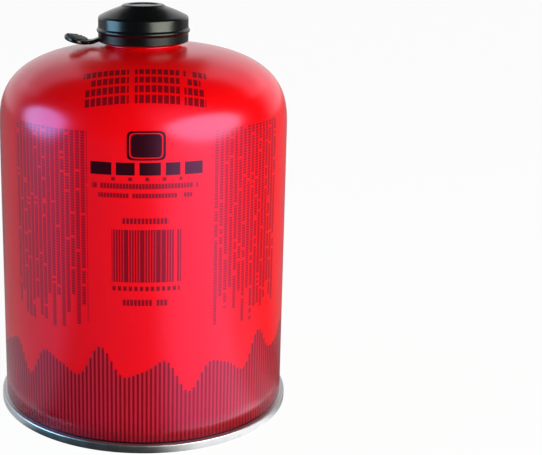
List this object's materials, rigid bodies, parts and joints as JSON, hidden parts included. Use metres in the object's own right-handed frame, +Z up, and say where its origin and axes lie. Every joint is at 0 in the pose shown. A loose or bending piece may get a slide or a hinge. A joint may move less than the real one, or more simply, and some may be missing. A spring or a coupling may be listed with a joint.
{
  "type": "fuel canister",
  "caption": "Red screw-on gas canister with a domed shoulder, a bare steel base seam and a threaded valve under a black press-on cap with a pull tab.",
  "frame": {"origin": "on the ground at the middle of the base seam's footprint", "axes": "+Z up along the can's axis, -Y towards the printed front, -X towards the cap's pull tab"},
  "size_m": [0.1114, 0.1114, 0.1531],
  "materials": {
    "red_lacquer": "glossy red lacquer on steel, printed with darker red panels and stripes",
    "tinned_steel": "bare tinned steel, bright with faint rolling marks",
    "tinplate": "satin pressed tinplate with a rolled thread",
    "black_rubber": "matt black rubber",
    "valve_brass": "turned brass",
    "spring_steel": "drawn stainless wire",
    "acetal": "natural white acetal",
    "black_cap": "glossy moulded black polyethylene"
  },
  "bodies": {
    "canister": {"can_body": "red_lacquer", "base_end": "tinned_steel", "valve_cup": "tinplate", "cup_gasket": "black_rubber", "valve_seal": "black_rubber", "valve_housing": "acetal"},
    "stem": {"valve_stem": "valve_brass", "valve_spring": "spring_steel"},
    "cap": {"cap": "black_cap"}
  },
  "joints": [
    {"name": "cap_lift", "type": "slide", "parent": "canister", "child": "cap", "axis": [0, 0, 1], "range_m": [0, 0.04]},
    {"name": "valve_press", "type": "slide", "parent": "canister", "child": "stem", "axis": [0, 0, -1], "range_m": [0, 0.0018], "stiffness_N_per_m": 1200, "springref_m": -0.003, "deforming": ["valve_spring"]}
  ]
}
